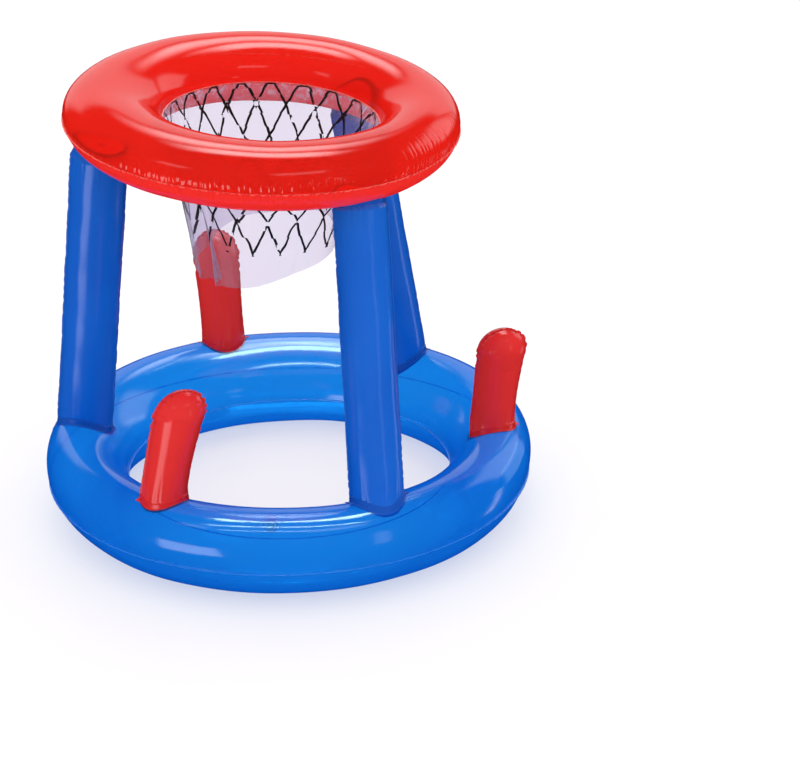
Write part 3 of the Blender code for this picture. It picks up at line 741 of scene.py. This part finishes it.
for k, spot in enumerate(PILLARS):
    half_width = PILLAR_HALF_WIDTHS[k]
    crest = spine_spot(BASE, PILLAR_HEADINGS[k], PILLAR_FOOT_SHIFT, BASE.half_height)
    foot = placed(crest - UP * PILLAR_FOOT_SINK, BASE_PLACE)
    under = spine_spot(HOOP, PILLAR_HEAD_HEADINGS[k], PILLAR_HEAD_SHIFTS[k],
                       -HOOP.half_height)
    head = placed(under + UP * PILLAR_HEAD_SINK, HOOP_PLACE)
    axes = tube_axes(head - foot)
    node = "pillar_" + spot
    for side, letter in ((1, "a"), (-1, "b")):
        pillar_panel(node + "_skin_" + letter, node + "_panel_" + letter, foot, head, axes,
                     half_width, side, 20 + k * 2 + (side > 0))
    weld_band(node + "_foot_band", node + "_foot_weld", BASE, BASE_PLACE, foot, axes,
              half_width, PILLAR_HALF_DEPTH, BAND_ROWS, 40 + k, weld_blue)
    weld_patch("hoop_patch_" + spot, under, half_width * NECK_GIRTH + 0.001)
    turned = (-axes[0], axes[1], -axes[2])
    weld_band(node + "_head_band", node + "_head_weld", HOOP, HOOP_PLACE, head, turned,
              half_width * NECK_GIRTH, PILLAR_HALF_DEPTH * NECK_GIRTH, HEAD_ROWS, 50 + k,
              weld_blue)


# Pegs. Three blunt tongues of dark red vinyl on the base ring, each of two panels welded
# round the edge, which puckers over the rounded top. They lean, each its own way.

PEGS = ("right", "back", "left")
PEG_HEADINGS = np.radians((-31, 85, -148))
PEG_SHIFTS = (0, 0.0165, 0.003)
PEG_HEIGHT = 0.1505
PEG_SINK = 0.034
PEG_FOOT, PEG_WAIST, PEG_SHOULDER = 0.0295, 0.0275, 0.0325
PEG_HALF_DEPTH = 0.0305
PEG_LEANS = (0.036, 0.057, 0.0345)
PEG_LEAN_HEADINGS = np.radians((-91, 76, -40))
PEG_BEND_POWER = 1.2
PEG_LIP = 0.0022
PEG_ROWS = 100
PEG_ROUND = 0.095            # round one panel, for its UV map
PEG_SEARCH = 0.1
TOP_PUCKERS = 0.0088 * np.arange(9)   # ways along the seam over the rounded top
TOP_PUCKER_DEPTHS = (0.0012, 0.0032)
SIDE_PUCKER_STEP = 0.013
FOOT_CREASES = 8
TOP_FOLDS = 6                # small folds across, near the top
peg_vinyl = vinyl("peg_vinyl", (0.7, 0.026, 0.026, 1), (0.62, 0.019, 0.02, 1),
                  (0.95, 0.1, 0.1, 1), 0.95, 0.15, 0.16, gloss=0.03)


def peg_half_width(height):
    share = np.clip(height / (PEG_HEIGHT - PEG_SHOULDER), 0, 1)
    flare = (PEG_FOOT - PEG_WAIST) * (1 - share) ** 3
    return PEG_WAIST + flare + (PEG_SHOULDER - PEG_WAIST) * share ** 2


def peg_panel(name, node, foot, axes, lean, side, seed):
    """One panel of a peg, from its weld up to where it closes at the top."""
    up, across, out = axes
    dome = PEG_HEIGHT - PEG_SHOULDER
    turn, lip, across_way = half_tube(PEG_LIP, PEG_ROUND)
    under = (foot - up * PEG_SINK + across * (PEG_FOOT * np.cos(turn))[..., None]
             + out * (side * PEG_HALF_DEPTH * np.sin(turn))[..., None])
    start = way_out(BASE, BASE_PLACE, under, up, PEG_SEARCH) - PEG_SINK
    share = np.linspace(0, 1, PEG_ROWS // 2, endpoint=False)[:, None]
    rounding = np.linspace(0, math.pi / 2, PEG_ROWS // 2)[:, None] + 0 * turn
    straight = start + (dome - start) * share
    height = np.concatenate([straight, dome + PEG_SHOULDER * np.sin(rounding)])
    wide = np.concatenate([peg_half_width(straight), PEG_SHOULDER * np.cos(rounding)])
    slope = np.concatenate([0 * straight, rounding])
    deep = PEG_HALF_DEPTH * np.minimum(wide / peg_half_width(height), 1)
    way = np.concatenate([straight, dome + PEG_SHOULDER * rounding])
    draw = np.random.default_rng(seed)
    seam_draw = np.random.default_rng(seed // 2)
    pull = seam_puckers(seam_draw, way, turn, dome - 0.02 + TOP_PUCKERS, TOP_PUCKER_DEPTHS)
    pull += seam_puckers(seam_draw, way, turn,
                         np.arange(0.02, dome - 0.02, SIDE_PUCKER_STEP), (0.0001, 0.0006))
    for _ in range(FOOT_CREASES):
        middle, reach = draw.uniform(0, math.pi), draw.uniform(0.008, 0.022)
        pull += (draw.uniform(0.0003, 0.0009) * bump(turn - middle, 0.07)
                 * np.exp(-(np.maximum(height - BAND_HEIGHT, 0) / reach) ** 1.5))
    for _ in range(TOP_FOLDS):
        middle = draw.uniform(0.4, math.pi - 0.4)
        fold_height = draw.uniform(0.6, 0.95) * PEG_HEIGHT
        pull += (draw.uniform(0.0004, 0.001) * bump(turn - middle, 0.14)
                 * bump(way - fold_height, 0.0022))
    bulge = 1 - pull / PEG_HALF_DEPTH
    level = height + lip * np.sin(slope) - pull * np.sin(slope)
    x = (wide * bulge + lip * np.cos(slope)) * np.cos(turn)
    y = deep * bulge * np.sin(turn) + SEAM_GAP
    points = (foot + across * x[..., None] + out * (side * y)[..., None]
              + up * level[..., None])
    bend = np.clip((level - BAND_HEIGHT) / (PEG_HEIGHT - BAND_HEIGHT), 0, None)
    points = points + lean * (bend ** PEG_BEND_POWER)[..., None]
    obj = skin_piece(name, points, False, across_way, lip / PEG_LIP, peg_vinyl,
                     side > 0)
    shape = bmesh.new()
    shape.from_mesh(obj.data)
    bmesh.ops.remove_doubles(shape, verts=shape.verts, dist=0.00002)
    shape.to_mesh(obj.data)
    shape.free()
    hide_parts(node)
    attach(obj, "float")


for k, spot in enumerate(PEGS):
    crest = spine_spot(BASE, PEG_HEADINGS[k], PEG_SHIFTS[k], BASE.half_height)
    foot = placed(crest, BASE_PLACE)
    axes = tube_axes(UP)
    lean = heading(PEG_LEAN_HEADINGS[k]) * PEG_LEANS[k]
    node = "peg_" + spot
    for side, letter in ((1, "a"), (-1, "b")):
        peg_panel(node + "_skin_" + letter, node + "_panel_" + letter, foot, axes, lean, side,
                  70 + k * 2 + (side > 0))
    weld_band(node + "_foot_band", node + "_foot_weld", BASE, BASE_PLACE,
              foot - UP * PEG_SINK, axes, PEG_FOOT, PEG_HALF_DEPTH, BAND_ROWS, 80 + k,
              weld_red)


# Net. One tube of clear film, its top edge caught in the hoop's inner seam. It hangs limp,
# with a crumpled fold at its left, and carries a printed net of black diamonds whose
# lines are hooked at the top and end in points.

NET_DROP = 0.182
NET_SLANT = 0.028
NET_SLANT_HEADING = math.radians(185)
NET_BOTTOM_RADIUS = 0.093
NET_SHARES = (0, 0.06, 0.28, 0.52, 0.76, 1)
NET_TAPER_SHARES = (0, 0.03, 0.28, 0.56, 0.8, 1)
NET_STEPS = 900
NET_ROWS = 72
NET_CELLS = 20
NET_DROPS = (-0.004, 0.0012, 0.028, 0.0675, 0.098, 0.148, 0.3)   # where the print's rows lie
NET_ROW_MARKS = (0, 0.12, 0.5, 1, 1.5, 2, 4)
NET_HOOK = 0.12              # the tops of the diamonds, in rows
NET_POINT = 2.03             # their lowest points
NET_UNIT = 0.0385            # metres from line to line
FILM_COAT = 2.6              # makes up for the film's clear share
NET_LINE = 0.0018            # half the width of a printed line
NET_TOP_LIP = -0.001         # its top edge sits this far inside the hoop's seam
NET_WAVE_SHARE = 0.035
NET_WAVES = 5
# The big folds: heading and half width in degrees, depth, and the share where they start
NET_FOLDS = ((-168, 5, 0.018, 0.25), (-178, 3, -0.006, 0.35), (-155, 4, -0.007, 0.3),
             (60, 9, 0.006, 0.4), (-20, 12, 0.006, 0.5), (120, 8, 0.005, 0.4))
NET_CREASES = 150
NET_CRUMPLES = 70            # small dents just below the hoop's far side

print_film, film = bare_finish("clear_film")
sheet_way = film.add("ShaderNodeTexCoord", output="UV")
cells = film.add("ShaderNodeSeparateXYZ", {}, {0: sheet_way}, "X")
rows = film.add("ShaderNodeSeparateXYZ", {}, {0: sheet_way}, "Y")
film_place = film.add("ShaderNodeTexCoord", output="Object")


def film_dice(across, down):
    """A number from 0 to 1 for each small field of the film."""
    field = film.add("ShaderNodeCombineXYZ", {}, {"X": (cells * across).floor(),
                                                  "Y": (rows * down).floor()})
    return film.add("ShaderNodeTexWhiteNoise", {"noise_dimensions": "2D"}, {"Vector": field},
                    "Value")


wander = film.add("ShaderNodeTexNoise", {}, {"Vector": film_place, "Scale": 38, "Detail": 1})
drawn = cells + (wander - 0.5) * 0.2 + (film_dice(2, 4.6) - 0.5) * 0.1
printed = 0
for way in (1, -1):
    offset = abs((drawn + rows * way + 0.5).fraction() - 0.5)
    printed = (offset * NET_UNIT).below(NET_LINE) + printed
hook = (abs((drawn + 0.5).fraction() - 0.5).below(NET_HOOK)
        * (abs(rows - NET_HOOK) * 0.068).below(NET_LINE))
reach = rows.below(NET_POINT) * (1 - rows.below(NET_HOOK)) * film_dice(7, 13).below(0.965)
printed = (printed.at_most(1) * reach + hook).at_most(1)
film_facing = film.add("ShaderNodeLayerWeight", {}, {"Blend": 0.5}, "Facing")
crinkle = film.add("ShaderNodeTexNoise", {}, {"Vector": film_place, "Scale": 60, "Detail": 4,
                                              "Distortion": 1.5})
film_relief = film.add("ShaderNodeBump", {}, {"Strength": 0.35, "Distance": 0.0015,
                                              "Height": crinkle})
film_body = film.add("ShaderNodeBsdfPrincipled", {}, {
    "Base Color": printed.tint((0.7, 0.69, 0.86, 1), (0.006, 0.005, 0.006, 1)),
    "Roughness": 0.08 + printed * 0.3, "IOR": 1.5, "Coat Weight": 1 - printed,
    "Coat IOR": FILM_COAT, "Coat Roughness": 0.06, "Normal": film_relief})
film_clear = film.add("ShaderNodeBsdfTransparent", {}, {"Color": (0.765, 0.72, 0.825, 1)})
hem = (1 - rows.between(0.1, 0.62)) * (0.12 + crinkle.between(0.4, 0.7) * 0.4)
film_share = (0.09 + (film_facing ** 2.5) * 0.7 + hem + printed * 0.91).at_most(1)
film_whole = film.add("ShaderNodeMixShader", {}, {0: film_share, 1: film_clear, 2: film_body})
film.add("ShaderNodeOutputMaterial", {}, {"Surface": film_whole})


def net_points(around, share):
    """The film's hanging form: arrays of heading and of share of the whole drop."""
    rim = ring_points(HOOP, around, HOOP.inside, NET_TOP_LIP)
    middle = np.array([*HOOP.hole[:2], rim[..., 2].mean()])
    reach = np.linalg.norm(rim - middle, axis=-1)
    taper = np.interp(share, NET_SHARES, NET_TAPER_SHARES)
    wave = 1 + NET_WAVE_SHARE * share * np.sin(NET_WAVES * around)
    radius = (reach + (NET_BOTTOM_RADIUS - reach) * taper) * wave
    draw = np.random.default_rng(91)
    for place, wide, deep, top in NET_FOLDS:
        gap = (np.degrees(around) - place + 180) % 360 - 180
        radius = radius - (deep * bump(gap, wide)
                           * np.clip((share - top) / (1 - top), 0, 1) ** 0.8)
    for fold in range(NET_CREASES):
        place, wide = draw.uniform(0, 2 * math.pi), draw.uniform(0.008, 0.04)
        drift = draw.uniform(-0.6, 0.6)
        gap = (around - place + drift * share + math.pi) % (2 * math.pi) - math.pi
        top = draw.uniform(0.02, 0.3)
        near = bump(share if fold % 3 else 1 - share, top)
        radius = radius + draw.uniform(-0.0011, 0.0011) * bump(gap, wide) * near
    for _ in range(NET_CRUMPLES):
        place, wide = draw.uniform(-0.55, 0.75), draw.uniform(0.006, 0.02)
        tilt = draw.uniform(-2, 2)
        middle_share, long = draw.uniform(0.02, 0.2), draw.uniform(0.03, 0.1)
        gap = around - place + tilt * (share - middle_share)
        gap = (gap + math.pi) % (2 * math.pi) - math.pi
        radius = radius + (draw.uniform(-0.0018, 0.0018) * bump(gap, wide)
                           * bump(share - middle_share, long))
    hang = (NET_DROP + NET_SLANT * np.cos(around - NET_SLANT_HEADING)) * share
    points = middle + (rim - middle) * (radius / reach)[..., None]
    points[..., 2] -= hang
    return points, hang


def net_cells(share):
    """Where the printed cells lie round the film; they are wider on its near side."""
    turn = 2 * math.pi * (share - 0.15)
    return NET_CELLS * share + 0.32 * np.sin(turn) - 0.075 * np.cos(turn) + 0.6


around = full_turn(NET_STEPS)
share = np.linspace(0, 1, NET_ROWS)[None, :]
net_grid, hang = net_points(around, share)
net_skin = skin_piece("net_film_tube", placed(net_grid, HOOP_PLACE), True,
                      hang.mean(0), PLAIN, print_film)
mesh = net_skin.data
corner_vertex = np.empty(len(mesh.loops), int)
mesh.loops.foreach_get("vertex_index", corner_vertex)
spread = np.empty(len(mesh.loops) * 2)
mesh.uv_layers["UVMap"].data.foreach_get("uv", spread)
spread = spread.reshape(-1, 2)
spread[:, 0] = net_cells(spread[:, 0])
spread[:, 1] = np.interp(hang.reshape(-1)[corner_vertex], NET_DROPS, NET_ROW_MARKS)
mesh.uv_layers["UVMap"].data.foreach_set("uv", spread.reshape(-1))
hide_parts("net_film")
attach(net_skin, "float")


# Inflation valve. Moulded from clear soft vinyl and welded to the inner wall of the base
# ring: a collar, a ribbed tube that is pushed in after filling, a stopper on a tether, and
# a thin check flap at the tube's inner end.

VALVE_HEADING = math.radians(-120)
VALVE_RISE = math.radians(172)
VALVE_GAP = 0.0003
TUBE_RADIUS = 0.005
TUBE_BORE = 0.0033
TUBE_LENGTH = 0.016          # outside the ring
TUBE_TAIL = 0.0065           # inside the ring
STOP_RADIUS = 0.0064
STOPPER_HEAD = 0.0058
FLAP_RADIUS = 0.0043
VALVE_CUT = 0.0074           # how far the skin is cut away, under the collar
VALVE_TURNS = 64
TETHER_STEPS, TETHER_TURNS = 40, 16   # along it and round it
TETHER_LENGTH, TETHER_BOW = 0.012, 0.0045
valve_vinyl = vinyl("valve_vinyl", (0.62, 0.7, 0.76, 1), (0.45, 0.56, 0.66, 1),
                    (0.96, 0.98, 0.99, 1), 0.14, 0.4, 0.2)

valve_spot = placed(ring_points(BASE, np.array(VALVE_HEADING), VALVE_RISE) + UP * SEAM_GAP,
                    BASE_PLACE)
flat_width = math.sqrt(BASE.half_width ** 2 - BASE.lean ** 2)
valve_climb = flat_width * math.sin(VALVE_RISE) - BASE.lean * math.cos(VALVE_RISE)
valve_out = unit(heading(VALVE_HEADING) * (BASE.half_height * math.cos(VALVE_RISE))
                 + UP * valve_climb)
valve_side = unit(np.cross(UP, valve_out))
valve_axes = np.stack([valve_side, np.cross(valve_out, valve_side), valve_out])


# The ring's skin is cut open under the collar
ring_skin = bpy.data.objects["base_ring_upper_skin"].data
shape = bmesh.new()
shape.from_mesh(ring_skin)
opened = []
for face in shape.faces:
    offset = face.calc_center_median() - Vector(valve_spot)
    rise = offset.dot(Vector(valve_out))
    if abs(rise) < VALVE_CUT and (offset - Vector(valve_out) * rise).length < VALVE_CUT:
        opened.append(face)
bmesh.ops.delete(shape, geom=opened, context="FACES")
shape.to_mesh(ring_skin)
shape.free()


def in_valve(points):
    """Points of the valve's own frame, its third axis out of the ring, in the part's frame."""
    return valve_spot + np.asarray(points) @ valve_axes


def turned_piece(name, node, body, profile, welded=()):
    """A round moulding from a profile of radii and heights, up its outside."""
    profile = np.array(profile)
    turn = full_turn(VALVE_TURNS)
    points = np.stack([profile[:, 0] * np.cos(turn), profile[:, 0] * np.sin(turn),
                       profile[:, 1] + 0 * turn], -1)
    step = np.linalg.norm(np.diff(profile, axis=0), axis=-1)
    weld = np.where(np.isin(np.arange(len(profile)), welded), WELDED, PLAIN)
    obj = skin_piece(name, in_valve(points), True, np.concatenate([[0], np.cumsum(step)]), weld,
                     valve_vinyl)
    if node:
        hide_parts(node)
    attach(obj, body)


bore = TUBE_RADIUS + VALVE_GAP
turned_piece("valve_collar", "valve_flange", "float", (
    (bore, -0.004), (0.0075, -0.004), (0.0098, -0.0026), (0.0109, -0.0004), (0.011, 0.0002),
    (0.0108, 0.0006), (0.0103, 0.0008), (0.0088, 0.0007), (0.0084, 0.0005), (0.0078, 0.0005),
    (0.0074, 0.0007), (0.007, 0.0011), (0.0066, 0.0013), (0.0058, 0.0013), (0.0054, 0.0011),
    (bore, 0.0008), (bore, -0.004)), (3, 4, 5, 8, 9))
ribs = []
for height in np.arange(0.0018, 0.0112, 0.0016):
    ribs += [(TUBE_RADIUS - 0.0001, height), (TUBE_RADIUS, height + 0.0003),
             (TUBE_RADIUS, height + 0.0006), (TUBE_RADIUS - 0.0001, height + 0.0009),
             (TUBE_RADIUS - 0.0005, height + 0.0011), (TUBE_RADIUS - 0.0005, height + 0.0014)]
turned_piece("valve_tube", "valve_stem", "valve_stem", [
    (TUBE_BORE, -TUBE_TAIL), (STOP_RADIUS - 0.0002, -TUBE_TAIL), (STOP_RADIUS, 0.0002 - TUBE_TAIL),
    (STOP_RADIUS, 0.001 - TUBE_TAIL), (STOP_RADIUS - 0.0002, 0.0012 - TUBE_TAIL),
    (TUBE_RADIUS, 0.0012 - TUBE_TAIL), (TUBE_RADIUS, 0.001)] + ribs + [
    (TUBE_RADIUS - 0.0003, 0.0118), (TUBE_RADIUS - 0.0003, 0.0142), (TUBE_RADIUS, 0.0148),
    (TUBE_RADIUS, 0.0156), (TUBE_RADIUS - 0.0003, TUBE_LENGTH), (TUBE_BORE + 0.0003, TUBE_LENGTH),
    (TUBE_BORE, 0.0157), (TUBE_BORE, -TUBE_TAIL)])
seat = TUBE_LENGTH + VALVE_GAP
turned_piece("valve_stopper", "valve_plug", "valve_plug", (
    (0, seat - 0.007), (0.0022, seat - 0.007), (0.0026, seat - 0.0064), (0.003, seat - 0.005),
    (0.003, seat - 0.0036), (0.0027, seat - 0.0032), (0.0027, seat - 0.0026),
    (0.003, seat - 0.0022), (0.003, seat), (0.0054, seat), (STOPPER_HEAD, seat + 0.0003),
    (STOPPER_HEAD, seat + 0.0008), (0.0054, seat + 0.0012), (0.0046, seat + 0.0013),
    (0.004, seat + 0.0009), (0.0022, seat + 0.0008), (0.0018, seat + 0.0013),
    (0.0012, seat + 0.0014), (0, seat + 0.0014)))
turned_piece("valve_tether_loop", None, "valve_stem", (
    (TUBE_RADIUS - 0.0002, 0.0117), (0.0056, 0.0117), (0.0058, 0.012), (0.0058, 0.014),
    (0.0056, 0.0143), (TUBE_RADIUS - 0.0002, 0.0143)))
turned_piece("valve_check", "valve_flap", "valve_flap", (
    (0, -TUBE_TAIL - 0.0009), (0.0039, -TUBE_TAIL - 0.0009),
    (FLAP_RADIUS, -TUBE_TAIL - 0.0007), (FLAP_RADIUS, -TUBE_TAIL - 0.0004),
    (0.004, -TUBE_TAIL - VALVE_GAP), (0, -TUBE_TAIL - VALVE_GAP)))

tether_root = np.array([0.0057, 0, 0.013])
tether_tip = np.array([STOPPER_HEAD, 0, seat + 0.0007])
share = np.linspace(0, 1, TETHER_STEPS)
turn = full_turn(TETHER_TURNS)
bow = np.sin(math.pi * share)
half_wide = 0.0015 - 0.0004 * bow
closing = np.sqrt(np.clip(np.minimum(share, 1 - share) / 0.03, 0, 1))
side_way = np.sign(np.cos(turn)) * np.abs(np.cos(turn)) ** 0.5 * half_wide * closing
thick_way = np.sin(turn) * 0.0004 * closing
climb = math.pi * np.cos(math.pi * share) * TETHER_BOW
tilt = np.hypot(climb, tether_tip[2] - tether_root[2])
tether = np.stack([
    tether_root[0] + (tether_tip[0] - tether_root[0]) * share + bow * TETHER_BOW
    + thick_way * (tether_tip[2] - tether_root[2]) / tilt,
    side_way,
    tether_root[2] + (tether_tip[2] - tether_root[2]) * share - thick_way * climb / tilt], -1)
tether_piece = skin_piece("valve_tether", in_valve(tether), True, share * TETHER_LENGTH,
                          PLAIN, valve_vinyl)
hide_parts("valve_strap")
tuple(in_valve(tether_root))
tuple(in_valve(tether_tip))
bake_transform(tether_piece)
